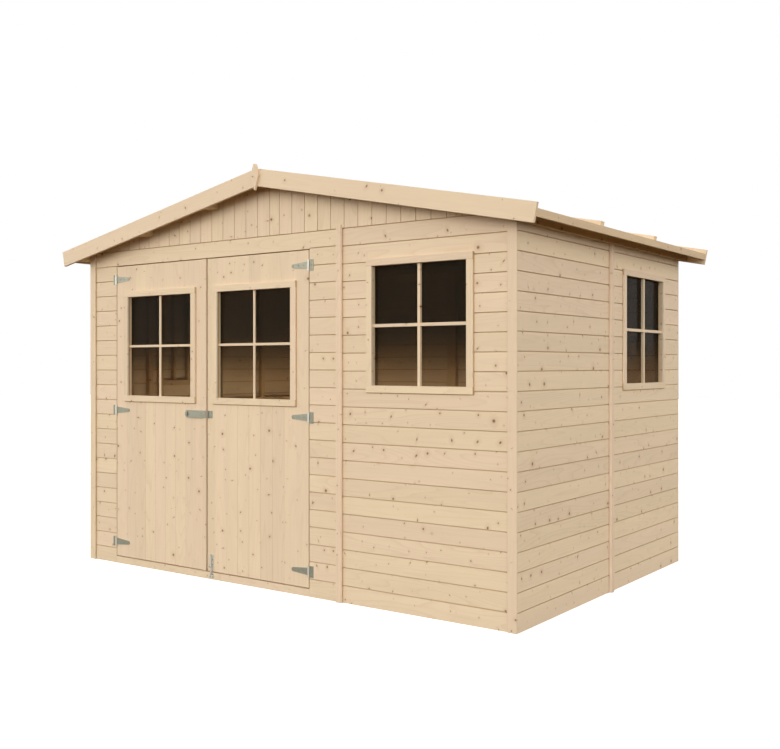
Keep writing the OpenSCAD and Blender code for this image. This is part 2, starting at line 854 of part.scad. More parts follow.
bolt_mid = right_meet + bolt_x;
rod_y = -y_wall - steel_t - rod_r - rod_clear - 1.5;
guide_r = rod_r + rod_clear + 2;
plate_low = leaf_z0 + bolt_plate_z;
plate_high = plate_low + 2 * (guide_h + 2 + rod_r + 2 + bolt_spare) + bolt_travel;
guide_low = plate_low + 2;
guide_high = plate_high - guide_h - 2;
rod_low = floor_z - keeper_h / 2 + 3;

module bolt_barrel() {
    color(zinc) {
        box([bolt_mid - bolt_plate_w / 2, -y_wall - steel_t, plate_low],
            [bolt_mid + bolt_plate_w / 2, -y_wall, plate_high]);
        for (z = [guide_low, guide_high]) difference() {
            union() {
                translate([bolt_mid, rod_y, z]) cylinder(r = guide_r, h = guide_h);
                box([bolt_mid - guide_r, rod_y, z], [bolt_mid + guide_r, -y_wall - 1, z + guide_h]);
            }
            translate([bolt_mid, rod_y, z - 1])
                cylinder(r = rod_r + rod_clear, h = guide_h + 2);
        }
    }
}
module bolt_rod() {
    knob_z = guide_low + guide_h + rod_r + 2;
    color(zinc) {
        translate([bolt_mid, rod_y, rod_low])
            cylinder(r = rod_r, h = plate_high - rod_low + 3);
        translate([bolt_mid, rod_y, knob_z]) rotate([90, 0, 0]) cylinder(r = rod_r - 0.5, h = knob_l);
        translate([bolt_mid, rod_y - knob_l, knob_z]) sphere(r = rod_r + 1);
    }
}
module bolt_keeper() {
    color(zinc)
        box([bolt_mid - bolt_plate_w / 2, -y_wall - steel_t, floor_z - keeper_h - 2],
            [bolt_mid + bolt_plate_w / 2, -y_wall, floor_z - 2]);
}

floor_boards();
floor_bearers();
door_sill();
front_wall_left();
front_wall_header();
front_wall_middle();
front_wall_window_panel();
front_gable();
back_wall();
back_gable();
left_wall();
right_wall();
corner_boards();
cover_battens();
front_frame();
back_frame();
left_frame();
right_frame();
roof_purlins();
ridge_beam();
eaves_rails();
roof_left();
roof_right();
roof_cover_strips();
front_bargeboards();
rear_bargeboards();
front_finial();
rear_finial();
eaves_fascias();
front_window_trim();
right_window_trim();
wall_window_glass();
hinge_plates();
bolt_keeper();
left_door_boards();
left_door_ledges();
left_door_window_trim();
left_door_glass();
door_meeting_strip();
left_hinge_straps();
hasp_strap();
right_door_boards();
right_door_ledges();
right_door_window_trim();
right_door_glass();
right_hinge_straps();
hasp_plate();
bolt_barrel();
bolt_rod();
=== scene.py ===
# A wooden garden shed with shiplap walls, boarded gables and roof, and glazed
# double doors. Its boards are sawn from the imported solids, so each one lies
# where its solid lies. Metres, +Z up, front towards -Y.

import json
import math
import random

import bmesh
import bpy
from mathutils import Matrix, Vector

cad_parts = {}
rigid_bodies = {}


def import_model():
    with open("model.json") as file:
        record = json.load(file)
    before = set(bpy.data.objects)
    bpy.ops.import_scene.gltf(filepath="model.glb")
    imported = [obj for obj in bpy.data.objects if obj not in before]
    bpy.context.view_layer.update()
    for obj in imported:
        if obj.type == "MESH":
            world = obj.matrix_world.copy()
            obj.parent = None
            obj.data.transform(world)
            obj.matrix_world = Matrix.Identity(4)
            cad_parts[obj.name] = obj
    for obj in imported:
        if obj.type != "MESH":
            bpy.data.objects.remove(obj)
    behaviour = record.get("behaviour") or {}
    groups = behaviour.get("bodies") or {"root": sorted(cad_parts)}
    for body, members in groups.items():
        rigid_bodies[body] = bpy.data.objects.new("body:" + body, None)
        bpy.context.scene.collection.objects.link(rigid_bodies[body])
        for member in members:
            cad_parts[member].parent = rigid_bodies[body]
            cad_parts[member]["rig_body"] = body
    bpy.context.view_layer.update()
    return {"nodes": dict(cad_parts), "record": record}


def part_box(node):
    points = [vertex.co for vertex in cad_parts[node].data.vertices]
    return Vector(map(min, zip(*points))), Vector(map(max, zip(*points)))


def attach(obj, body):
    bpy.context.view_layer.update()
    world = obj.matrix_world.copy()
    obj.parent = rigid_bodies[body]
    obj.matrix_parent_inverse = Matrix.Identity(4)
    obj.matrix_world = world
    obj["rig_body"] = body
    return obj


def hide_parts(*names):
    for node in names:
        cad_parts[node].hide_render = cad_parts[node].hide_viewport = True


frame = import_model()

X = Vector((1, 0, 0))
Y = Vector((0, 1, 0))
Z = Vector((0, 0, 1))

# Shiplap: the height that a board covers, the level of the first joint on the
# front and back, right of the doors and on the side walls, how a board's face
# falls back towards the lap above it, and the groove that stays open under that
# lap, outside and inside
BOARD = 0.091
FRONT_START = 0.0005
MIDDLE_START = 0.0055
SIDE_START = 0.003
FALL_H = 0.02
FALL_D = 0.0009
FALL_STEPS = 4
GROOVE_H = 0.0045
GROOVE_D = 0.0075
INNER_D = 0.0025
# Widths of the upright boards, the roof boards and the floor boards. The first
# gable board right of the middle and the right door's first board are narrower
GABLE_BOARD = 0.0885
GABLE_MIDDLE = 0.07
DOOR_BOARD = 0.0868
DOOR_FIRST = 0.0623
ROOF_BOARD = 2.224 / 24
FLOOR_BOARD = 0.0924
# The gap that stays open beside each upright gable board
GAP_W = 0.003
GAP_D = 0.008
# A cut this close to the end of a panel isn't made
SMALLEST_RIP = 0.012
# Places closer than SAME are at one level. Two cuts a HAIR apart make a sharp
# step. A place no further than ON_FACE behind a face lies on that face
SAME = 1e-5
HAIR = 0.0001
ON_FACE = 0.002
# How far behind a face the painted shade of a groove starts, and the depth it grows over
GROOVE_SHADE_START = 0.001
GROOVE_SHADE_DEPTH = 0.004
# How far the painted shadow of a trim or batten reaches over the boards, and
# how dark it is, and the shade painted in gaps and at board edges, against the painted shade in
# a groove
CONTACT_SHADOW_W = 0.0065
JOINT_SHADE_DIM = 2.2
# The edges of trims and battens have light painted on them, so they are paler than their faces
EDGE_PAINTED_LIGHT = -0.5
# The eaves fascias and the roof boards' lower faces carry painted shade, darker than the walls
FASCIA_SHADE = 0.5
UNDERSIDE_SHADE = 0.8
# Rounding of the edges of planed boards, tight tongued joints and sawn sticks,
# and the bend in radians from which an edge is rounded
PLANED = 0.0009
TIGHT = 0.0006
SAWN = 0.0006
SHARP_ANGLE = 0.6
# Window trims: width, and how far they stand proud of the wall. Glazing bars: how
# far behind the wall's face they start at the front and in the side wall, and
# their width and depth in the walls and in the doors
TRIM_W = 0.035
TRIM_T = 0.01
BAR_FRONT = 0.005
SIDE_BAR_FRONT = 0.0
WALL_BAR = (0.016, 0.0155)
DOOR_BAR = (0.014, 0.008)
# Hardware: thickness of the steel, rounding of its edges, radius of a hinge's
# knuckle and of a screw's head, and how far each screw of a strap is from the
# knuckle. Screws are SCREW_IN from the edge of a hinge plate
STEEL = 0.0025
STEEL_ROUND = 0.0005
KNUCKLE_R = 0.0055
SCREW_R = 0.0038
STRAP_SCREWS = (0.036, 0.07, 0.108)
SCREW_IN = 0.009

NODES = frame["nodes"]
HINGE_PINS = [joint["pos_m"][0] for joint in frame["record"]["behaviour"]["joints"]
              if joint["type"] == "hinge"]
# How far right of its pin's middle a knuckle's painted highlight lies, and the
# widths to each side within which it is bright and past which it is dull
HIGHLIGHT_ASIDE = 0.0022
HIGHLIGHT_IN = 0.003
HIGHLIGHT_OUT = 0.0046


# Shader values


class Value:
    """A shader socket that arithmetic can be written on."""

    def __init__(self, finish, socket):
        self.finish = finish
        self.socket = socket

    def out(self, name):
        """Another output of the same node."""
        return Value(self.finish, self.socket.node.outputs[name])

    def maths(self, operation, first, second=0.0):
        settings = {"operation": operation}
        return self.finish.add("Math", settings, {0: first, 1: second})

    def __add__(self, other):
        return self.maths("ADD", self, other)

    def __radd__(self, other):
        return self.maths("ADD", other, self)

    def __sub__(self, other):
        return self.maths("SUBTRACT", self, other)

    def __rsub__(self, other):
        return self.maths("SUBTRACT", other, self)

    def __mul__(self, other):
        return self.maths("MULTIPLY", self, other)

    def __rmul__(self, other):
        return self.maths("MULTIPLY", other, self)

    def __truediv__(self, other):
        return self.maths("DIVIDE", self, other)

    def __pow__(self, other):
        return self.maths("POWER", self, other)

    def __rpow__(self, other):
        return self.maths("POWER", other, self)

    def __gt__(self, other):
        return self.maths("GREATER_THAN", self, other)

    def wave(self, operation):
        """Sine, cosine, fraction or square root of the value."""
        return self.maths(operation, self)


class Finish:
    """The nodes of one material or of the studio's light."""

    def __init__(self, block):
        block.use_nodes = True
        self.block = block
        self.tree = block.node_tree
        self.tree.nodes.clear()

    def add(self, kind, settings=None, inputs=None, output=0):
        """A node with its settings, and the values or links of its sockets."""
        node = self.tree.nodes.new("ShaderNode" + kind)
        for name, setting in (settings or {}).items():
            setattr(node, name, setting)
        for name, given in (inputs or {}).items():
            if isinstance(given, Value):
                self.tree.links.new(given.socket, node.inputs[name])
            else:
                node.inputs[name].default_value = given
        return Value(self, node.outputs[output] if node.outputs else None)

    def attribute(self, name):
        return self.add("Attribute", {"attribute_name": name}, output="Vector")

    def parts(self, vector):
        split = self.add("SeparateXYZ", inputs={0: vector})
        return split, split.out("Y"), split.out("Z")

    def joined(self, x, y, z=0.0):
        return self.add("CombineXYZ", inputs={0: x, 1: y, 2: z})

    def vector(self, operation, first, second):
        return self.add("VectorMath", {"operation": operation}, {0: first, 1: second})

    def step(self, value, low, high):
        """0 at low and 1 at high, with a smooth rise between them."""
        return self.add("MapRange", {"interpolation_type": "SMOOTHSTEP"},
                        {"Value": value, "From Min": low, "From Max": high})

    def mix(self, factor, first, second, blend="MIX"):
        settings = {"data_type": "RGBA", "blend_type": blend}
        return self.add("Mix", settings, {0: factor, 6: first, 7: second}, output=2)

    def noise(self, vector, scale, detail=2.0):
        return self.add("TexNoise", inputs={"Vector": vector, "Scale": scale, "Detail": detail})

    def surface(self, sockets):
        shader = self.add("BsdfPrincipled", inputs=sockets)
        self.add("OutputMaterial", inputs={"Surface": shader})
        return self.block

    def bump(self, height, strength, distance):
        return self.add("Bump", inputs={"Height": height, "Strength": strength,
                                        "Distance": distance})


def colour(red, green, blue):
    """Linear colour from the 0 to 255 values of a screen colour."""
    linear = [((c / 255 + 0.055) / 1.055) ** 2.4 for c in (red, green, blue)]
    return (*linear, 1.0)


# Materials

# What is left of red, green and blue where shade is painted; where dim is below 0 they grow,
# and light is painted
SHADE_TONE = (0.74, 0.66, 0.5)


def softwood(name, pale, pink, late, knot, roughness, relief):
    """Fir: each board has its own tone, with growth lines, fibres and knots
    that follow the board. Late wood is the dark side of a growth line."""
    m = Finish(bpy.data.materials.new(name))
    place = m.attribute("grain")
    along, across = m.parts(place)[:2]
    hue, shade, figure = m.parts(m.attribute("tone"))
    dim = m.add("Attribute", {"attribute_name": "dim"}, output="Fac")

    # Knots: most cells hold one, round or drawn out across the board
    flat = m.joined(along, across)
    cell = m.add("TexVoronoi", {"voronoi_dimensions": "2D"}, {"Vector": flat, "Scale": 11.0})
    chance, girth, slant = m.parts(cell.out("Color"))
    from_x, from_y = m.parts(m.vector("SUBTRACT", flat, cell.out("Position")))[:2]
    turn = math.pi / 2 + (slant - 0.5) * 1.7
    lengthwise = from_x * turn.wave("COSINE") + from_y * turn.wave("SINE")
    sidewise = from_y * turn.wave("COSINE") - from_x * turn.wave("SINE")
    drawn_out = 1.0 + (chance * 9.0).wave("FRACT") ** 3.0 * 2.4
    wobble = m.noise(place, 260.0) * 0.0014 - 0.0007
    reach = (lengthwise ** 2.0 + (sidewise * drawn_out) ** 2.0).wave("SQRT") + wobble
    radius = 0.0023 + girth ** 3.0 * 0.0066
    present = m.step(chance, 0.12, 0.5)
    core = m.step(reach, radius, radius * 0.5) * present
    rim = m.step(reach, radius * 1.6, radius * 0.9) * present
    halo = m.step(reach, radius * 5.0, radius) * present

    # Growth lines are the contours of a smooth field drawn out along the board
    stretched = m.vector("MULTIPLY", place, (0.8, 8.5, 8.5))
    field = m.noise(stretched, 1.0, 1.0) + halo * 0.09
    growth = (field * (9.0 + figure * 9.0)).wave("FRACT")
    line = growth ** 5.0
    fibre = m.noise(m.vector("MULTIPLY", place, (9.0, 420.0, 420.0)), 1.0, 3.0)
    cloud = m.noise(m.vector("MULTIPLY", place, (1.6, 14.0, 14.0)), 1.0)

    wood = m.mix(hue, pale, pink)
    wood = m.mix(line * (0.05 + figure * 0.13), wood, late)
    wood = m.mix(m.step(fibre, 0.5, 0.75) * 0.1, wood, late)
    wood = m.mix(halo * 0.17, wood, late)
    light = 0.95 + shade * 0.07 + (cloud - 0.5) * 0.1
    # Where dim is above 0 shade is painted on the wood, and where it is below 0 light is
    # painted
    lit = m.joined(*(light * share ** dim for share in SHADE_TONE))
    wood = m.mix(1.0, wood, lit, "MULTIPLY")
    wood = m.mix(rim * 0.45, wood, late)
    wood = m.mix(core * 0.85, wood, knot)

    height = fibre * 0.5 + line * 0.35 - core * 0.6
    return m.surface({"Base Color": wood,
                      "Roughness": roughness + fibre * 0.12 - core * 0.15,
                      "Normal": m.bump(height, relief, 0.0006)})


def end_grain(name, pale, late):
    """Sawn board ends, with the growth rings cut across."""
    m = Finish(bpy.data.materials.new(name))
    place = m.attribute("grain")
    across, deep = m.parts(place)[1:]
    bend = m.noise(place, 14.0) * 0.02
    ring = ((across * 0.35 + deep + bend) * 260.0).wave("FRACT")
    wood = m.mix((ring ** 3.0) * 0.45, pale, late)
    speck = m.noise(place, 900.0)
    return m.surface({"Base Color": m.mix(m.step(speck, 0.5, 0.8) * 0.3, wood, late),
                      "Roughness": 0.85,
                      "Normal": m.bump(speck, 0.25, 0.0006)})


def zinc_plate(name, dull, bright):
    """Galvanised pressed steel, with the faint crystals of the zinc. A highlight
    is painted on the knuckles round the hinge pins."""
    m = Finish(bpy.data.materials.new(name))
    place = m.add("TexCoord", output="Object")
    cell = m.add("TexVoronoi", inputs={"Vector": place, "Scale": 170.0})
    facet, glint = m.parts(cell.out("Color"))[::2]
    cloud = m.noise(place, 45.0, 3.0)
    plate = m.mix(facet * 0.3 + cloud * 0.3, dull, bright)
    east = m.parts(place)[0]
    # A highlight painted on each knuckle, a little right of its pin
    for pin in HINGE_PINS:
        aside = (east - pin - HIGHLIGHT_ASIDE).wave("ABSOLUTE")
        knuckle_highlight = m.step(aside, HIGHLIGHT_OUT, HIGHLIGHT_IN)
        plate = m.mix(knuckle_highlight, plate, colour(228, 224, 210))
    return m.surface({"Base Color": plate, "Metallic": 0.7,
                      "Roughness": 0.38 + glint * 0.14 + cloud * 0.1,
                      "Normal": m.bump(cloud, 0.12, 0.0004)})


def window_pane(name):
    """Clear glazing, a little dusty, with shade painted on it that grows darker towards the
    top.
    """
    m = Finish(bpy.data.materials.new(name))
    place = m.add("TexCoord", output="Object")
    dust_and_shade_noise = m.noise(place, 7.0, 3.0)
    height = m.parts(place)[2]
    # Shade painted on the pane, darker towards the top
    top_shade = m.step(height + dust_and_shade_noise * 0.03, 1.12, 1.42)
    return m.surface({"Base Color": colour(27, 27, 21), "Roughness": 0.03 + dust_and_shade_noise * 0.03,
                      "Alpha": 0.4 + top_shade * 0.34, "IOR": 1.45, "Specular IOR Level": 0.015})


WALL_WOOD = softwood("planed_fir", colour(235, 211, 175), colour(234, 208, 176),
                     colour(186, 142, 94), colour(105, 66, 34), 0.62, 0.2)
ROOF_WOOD = softwood("roof_fir", colour(236, 213, 178), colour(235, 210, 179),
                     colour(180, 138, 92), colour(102, 64, 34), 0.68, 0.28)
INNER_WOOD = softwood("sawn_fir", colour(226, 198, 154), colour(224, 193, 152),
                      colour(172, 130, 84), colour(96, 60, 33), 0.8, 0.5)
WOOD_END = end_grain("fir_end_grain", colour(231, 206, 168), colour(196, 156, 112))
ZINC = zinc_plate("zinc_steel", colour(150, 149, 132), colour(181, 179, 163))
BRIGHT_ZINC = zinc_plate("bright_zinc", colour(214, 211, 200), colour(234, 231, 221))
PANE = window_pane("window_glass")
SLOT_WOOD = {"wall_timber": WALL_WOOD, "roof_timber": ROOF_WOOD, "inner_timber": INNER_WOOD}
SLOT_OF = {part["node"]: part["material_slot"] for part in frame["record"]["subparts"]}


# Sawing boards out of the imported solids


def solid_mesh(node):
    """The node's mesh as a copy to saw, with its flat faces whole."""
    bm = bmesh.new()
    bm.from_mesh(NODES[node].data)
    bmesh.ops.remove_doubles(bm, verts=bm.verts, dist=1e-6)
    bmesh.ops.dissolve_limit(bm, angle_limit=0.02, verts=bm.verts, edges=bm.edges)
    return bm


def islands(bm):
    """The separate solids of a mesh, each as a mesh of its own."""
    left = set(bm.verts)
    found = []
    while left:
        first = min(left, key=lambda v: v.index)
        group = {first}
        edge = [first]
        while edge:
            vert = edge.pop()
            for link in vert.link_edges:
                other = link.other_vert(vert)
                if other not in group:
                    group.add(other)
                    edge.append(other)
        left -= group
        found.append({v.index for v in group})
    pieces = []
    for group in found:
        piece = bm.copy()
        piece.verts.ensure_lookup_table()
        drop = [v for v in piece.verts if v.index not in group]
        bmesh.ops.delete(piece, geom=drop, context="VERTS")
        pieces.append(piece)
    return pieces


def number(bm):
    bm.verts.index_update()
    bm.verts.ensure_lookup_table()
    return bm


def everything(bm):
    return bm.verts[:] + bm.edges[:] + bm.faces[:]


def solid_boxes(node):
    """Lowest and highest corner of each solid of a node."""
    boxes = []
    for piece in islands(number(solid_mesh(node))):
        corners = [[v.co[axis] for v in piece.verts] for axis in range(3)]
        boxes.append((Vector([min(c) for c in corners]), Vector([max(c) for c in corners])))
        piece.free()
    return boxes


def rip(bm, axis, cuts):
    """Saws a mesh across an axis at the cuts, and gives the closed boards."""
    boards = []
    for low, high in zip(cuts, cuts[1:]):
        part = bm.copy()
        for place, side in ((low, {"clear_inner": True}), (high, {"clear_outer": True})):
            sawn = bmesh.ops.bisect_plane(part, geom=everything(part), plane_co=axis * place,
                                          plane_no=axis, **side)
            rim = [e for e in sawn["geom_cut"] if isinstance(e, bmesh.types.BMEdge)]
            bmesh.ops.holes_fill(part, edges=rim, sides=0)
        if part.verts:
            boards += islands(number(part))
    return boards


def cut_places(bm, axis, pitch, start):
    """Board lines between the mesh's ends along an axis, with its ends."""
    reach = [v.co.dot(axis) for v in bm.verts]
    low = min(reach)
    high = max(reach)
    first = math.ceil((low - start) / pitch)
    lines = [start + pitch * i for i in range(first, first + 80)]
    inside = [c for c in lines if low + SMALLEST_RIP < c < high - SMALLEST_RIP]
    return [low - 1, *inside, high + 1]


def shape_lap(board, out):
    """Shapes the top of a shiplap board. Its face towards out falls back a
    little, and then both faces step in to leave the grooves."""
    face = max(v.co.dot(out) for v in board.verts)
    rear = min(v.co.dot(out) for v in board.verts)
    top = max(v.co.z for v in board.verts)
    foot = top - FALL_H
    step = top - GROOVE_H
    fall = FALL_H - GROOVE_H
    levels = [foot + fall * i / FALL_STEPS for i in range(FALL_STEPS)]
    for level in (*levels, step - HAIR, step):
        bmesh.ops.bisect_plane(board, geom=everything(board), plane_co=Z * level, plane_no=Z)
    for vert in board.verts:
        in_front = face - vert.co.dot(out) < SAME
        behind = vert.co.dot(out) - rear < SAME
        if vert.co.z > step - SAME:
            vert.co += out * (INNER_D * behind - GROOVE_D * in_front)
        elif vert.co.z > foot and in_front:
            vert.co -= out * FALL_D * ((vert.co.z - foot) / fall) ** 2


def open_gap(board, out):
    """Steps back one edge of an upright board on its face towards out."""
    face = max(v.co.dot(out) for v in board.verts)
    edge = min(v.co.x for v in board.verts) + GAP_W
    for place in (edge, edge + HAIR):
        bmesh.ops.bisect_plane(board, geom=everything(board), plane_co=X * place, plane_no=X)
    for vert in board.verts:
        if face - vert.co.dot(out) < SAME and vert.co.x < edge + SAME:
            vert.co -= out * GAP_D


def round_edges(bm, width):
    """Takes the sharpness off the edges."""
    sharp = [e for e in bm.edges
             if len(e.link_faces) == 2 and e.calc_face_angle() > SHARP_ANGLE]
    bmesh.ops.bevel(bm, geom=sharp, offset=width, segments=2, profile=0.5, affect="EDGES",
                    clamp_overlap=True)


class Timber:
    """Finished boards, collected to be one piece of the shed."""

    def __init__(self, seed):
        self.chance = random.Random(seed)
        self.places = []
        self.faces = []
        self.ends = []
        self.grain = []
        self.tone = []
        self.dim = []

    def add(self, bm, width, along=None, course=None, dim=None):
        """Adds a board. Its grain runs along the given direction, or else along
        its longest edge. Boards of one course are cut from the same length. Shade is
        painted on the wood where dim of its place is near 1, and light where it is below 0."""
        bmesh.ops.recalc_face_normals(bm, faces=bm.faces)
        if along is None:
            longest = max(bm.edges, key=lambda e: round(e.calc_length(), 5))
            along = (longest.verts[1].co - longest.verts[0].co).normalized()
        sides = [f for f in bm.faces if abs(f.normal.dot(along)) < 0.5]
        depth = max(sides, key=lambda f: round(f.calc_area(), 7)).normal.copy()
        across = depth.cross(along).normalized()
        round_edges(bm, width)
        number(bm)
        chance = self.chance if course is None else random.Random(course)
        shift = Vector([chance.uniform(0, 40) for axis in range(3)])
        tone = [chance.random() for channel in range(3)]
        base = len(self.places)
        for vert in bm.verts:
            self.places.append(vert.co.copy())
            run = Vector((vert.co.dot(along), vert.co.dot(across), vert.co.dot(depth)))
            self.grain.append(run + shift)
            self.tone.append(tone)
            self.dim.append(dim(vert.co) if dim else 0.0)
        for face in bm.faces:
            self.faces.append([base + v.index for v in face.verts])
            self.ends.append(abs(face.normal.dot(along)) > 0.8)
        bm.free()

    def make(self, name, slot, body, *nodes):
        """The piece, in place of its nodes and on its body."""
        mesh = bpy.data.meshes.new(name)
        mesh.from_pydata(self.places, [], self.faces)
        for label, values in (("grain", self.grain), ("tone", self.tone)):
            layer = mesh.attributes.new(label, "FLOAT_VECTOR", "POINT")
            layer.data.foreach_set("vector", [c for value in values for c in value])
        mesh.attributes.new("dim", "FLOAT", "POINT").data.foreach_set("value", self.dim)
        mesh.materials.append(SLOT_WOOD[slot])
        mesh.materials.append(WOOD_END)
        mesh.polygons.foreach_set("material_index", [int(end) for end in self.ends])
        mesh.polygons.foreach_set("use_smooth", [True] * len(self.faces))
        mesh.set_sharp_from_angle(angle=math.radians(18))
        return placed(mesh, name, slot, body, *nodes)


def placed(mesh, name, slot, body, *nodes):
    """An object for the mesh, riding on its body, in place of its nodes. The slot is not used.
    """
    piece = bpy.data.objects.new(name, mesh)
    bpy.context.scene.collection.objects.link(piece)
    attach(piece, body)
    if nodes:
        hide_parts(*nodes)
    return piece


def body_of(node):
    return NODES[node]["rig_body"]


def dress(node, boards, width, along=None, dims=None):
    """Makes the piece that stands for a node from its boards."""
    timber = Timber(node)
    for board, dim in zip(boards, dims or [None] * len(boards)):
        timber.add(board, width, along, dim=dim)
    timber.make(node + "_timber", SLOT_OF[node], body_of(node), node)


def dim_behind(board, out, edge, start):
    """How much shade is painted on a place: 1 well behind the board's face
    towards out and past start in the direction of edge, and 0 elsewhere."""
    face = max(v.co.dot(out) for v in board.verts)

    def dim(place):
        if place.dot(edge) <= start:
            return 0.0
        return min(1.0, max(0.0, (face - place.dot(out) - GROOVE_SHADE_START) / GROOVE_SHADE_DEPTH))

    return dim


def beside(board, out, along):
    """Cuts a board on its face round the trims and battens that lie on it, and
    gives how much shadow is painted on a place there."""
    face = max(v.co.dot(out) for v in board.verts)
    spans = []
    for low, high in ON_THE_FACES:
        near = min(low.dot(out), high.dot(out))
        if abs(near - face) > ON_FACE:
            continue
        span = (low.dot(along), high.dot(along), low.z, high.z)
        reach = [v.co.dot(along) for v in board.verts]
        rise = [v.co.z for v in board.verts]
        if (span[0] - CONTACT_SHADOW_W < max(reach) and span[1] + CONTACT_SHADOW_W > min(reach)
                and span[2] - CONTACT_SHADOW_W < max(rise) and span[3] > min(rise)):
            spans.append(span)
    for left, right, foot, head in spans:
        for axis, places in ((along, (left - CONTACT_SHADOW_W, left, right, right + CONTACT_SHADOW_W)),
                             (Z, (foot - CONTACT_SHADOW_W, foot, head, head + 4 * HAIR))):
            for place in places:
                bmesh.ops.bisect_plane(board, geom=everything(board), plane_co=axis * place,
                                       plane_no=axis)

    def dim(place):
        if face - place.dot(out) > ON_FACE:
            return 0.0
        away = CONTACT_SHADOW_W
        for left, right, foot, head in spans:
            if place.z < head + 2 * HAIR:
                aside = max(left - place.dot(along), 0.0, place.dot(along) - right)
                away = min(away, math.hypot(aside, max(foot - place.z, 0.0)))
        return JOINT_SHADE_DIM * (1.0 - away / CONTACT_SHADOW_W)

    return dim


def shiplap(node, out):
    """A wall panel of lapped boards, seen from out. The three parts round the
    doorway share the lengths that they are cut from."""
    bm = solid_mesh(node)
    panel = "doorway" if node in AROUND_DOORWAY else node
    along, start = (Y, SIDE_START) if abs(out.x) > 0.5 else (X, FRONT_START)
    if node == "front_wall_middle":
        start = MIDDLE_START
    timber = Timber(node)
    for board in rip(bm, Z, cut_places(bm, Z, BOARD, start)):
        low = min(v.co.z for v in board.verts)
        top = max(v.co.z for v in board.verts)
        shape_lap(board, out)
        # Painted shade in the groove under the lap, and painted shadow beside the trims and
        # battens on the face
        in_groove = dim_behind(board, out, Z, top - GROOVE_H - 2 * HAIR)
        by_trim = beside(board, out, along)
        timber.add(board, PLANED, along, f"{panel} {low / BOARD:.0f}",
                   lambda place: max(in_groove(place), by_trim(place)))
    timber.make(node + "_timber", SLOT_OF[node], body_of(node), node)


def gable(node, out):
    """Upright boards with open gaps, seen from out."""
    bm = solid_mesh(node)
    left = cut_places(bm, X, GABLE_BOARD, 0.0)
    right = cut_places(bm, X, GABLE_BOARD, GABLE_MIDDLE)
    boards = rip(bm, X, [c for c in left if c < SAME] + [c for c in right if c > SAME])
    dims = []
    for board in boards:
        open_gap(board, out)
        dims.append(dim_in_gap(board, out))
    dress(node, boards, PLANED, Z, dims)


def dim_in_gap(board, out):
    """How much shade is painted on a place on both sides of the gaps beside an upright board.
    """
    face = max(v.co.dot(out) for v in board.verts)
    left = min(v.co.x for v in board.verts)
    right = max(v.co.x for v in board.verts)
    step = dim_behind(board, out, -X, -left - GAP_W - 2 * HAIR)
    return lambda place: (JOINT_SHADE_DIM if place.x > right - HAIR
                          and face - place.dot(out) > PLANED * 0.2 else step(place))


def door_boards(node, first):
    """Tongued boards that stand tight, side by side. The width of the first is
    given."""
    bm = solid_mesh(node)
    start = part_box(node)[0].x + first
    boards = rip(bm, X, cut_places(bm, X, DOOR_BOARD, start))
    dress(node, boards, TIGHT, Z, [tight_joint(board, -Y, X) for board in boards])


def tight_joint(board, out, along):
    """How much shade is painted on a place, on the rounding of a board's
    edges and beside the trims that lie on it."""
    face = max(v.co.dot(out) for v in board.verts)
    by_trim = beside(board, out, along)
    return lambda place: (JOINT_SHADE_DIM if HAIR < face - place.dot(out) < ON_FACE
                          else by_trim(place))


def boards_across(node, pitch, width, along=None, under=0.0):
    """A deck of boards, laid one behind another, with as much shade painted
    on the lower face as under says."""
    bm = solid_mesh(node)
    start = min(v.co.y for v in bm.verts)
    boards = rip(bm, Y, cut_places(bm, Y, pitch, start))
    dress(node, boards, width, along, [dim_below(board, under) for board in boards])


def dim_below(board, dim):
    """How much shade is painted on a place: as given on a board's lower face, and 0 on its
    upper.
    """
    board.normal_update()
    up = max(board.faces, key=lambda f: round(f.calc_area(), 7)).normal.copy()
    if up.z < 0:
        up.negate()
    top = max(v.co.dot(up) for v in board.verts)
    return lambda place: dim if top - place.dot(up) > 3 * PLANED else 0.0


def sticks(node, width, dim=0.0):
    """A node whose solids are each one piece of timber, all of them with as much
    painted shade as given."""
    pieces = islands(number(solid_mesh(node)))
    dress(node, pieces, width, None, [lambda place: dim for piece in pieces])


def flat_trims(node):
    """Trims and battens with light painted on their edges, each flat against the wall inside
    it.
    """
    pieces = islands(number(solid_mesh(node)))
    dims = []
    for piece in pieces:
        middle = sum((v.co for v in piece.verts), Vector()) / len(piece.verts)
        aside = abs(middle.x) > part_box("right_wall")[1].x
        out = X if aside else Y
        out = out if middle.dot(out) > 0 else -out
        dims.append(painted_light_edge(piece, out))
    dress(node, pieces, PLANED, None, dims)


def painted_light_edge(board, out):
    """How dim a place is: below 0 on a board's edges, where light is painted, and 0 on its face
    towards out.
    """
    face = max(v.co.dot(out) for v in board.verts)
    return lambda place: EDGE_PAINTED_LIGHT if face - place.dot(out) > PLANED * 0.7 else 0.0


# Walls, doors, floor and roof

AROUND_DOORWAY = ("front_wall_left", "front_wall_header", "front_wall_middle")
SHIPLAP = {"front_wall_left": -Y, "front_wall_header": -Y, "front_wall_middle": -Y,
           "front_wall_window_panel": -Y, "back_wall": Y, "left_wall": -X, "right_wall": X}
PLANED_STICKS = ("door_sill", "corner_boards", "roof_cover_strips", "front_bargeboards",
                 "rear_bargeboards", "front_finial", "rear_finial")
FLAT_TRIMS = ("cover_battens", "front_window_trim", "right_window_trim",
              "left_door_window_trim", "right_door_window_trim", "door_meeting_strip")
SAWN_STICKS = ("floor_bearers", "front_frame", "back_frame", "left_frame", "right_frame",
               "roof_purlins", "ridge_beam", "eaves_rails", "left_door_ledges",
               "right_door_ledges")

# Low and high corner of each trim and batten that lies on the boards
ON_THE_FACES = [box for node in ("corner_boards", *FLAT_TRIMS) for box in solid_boxes(node)]


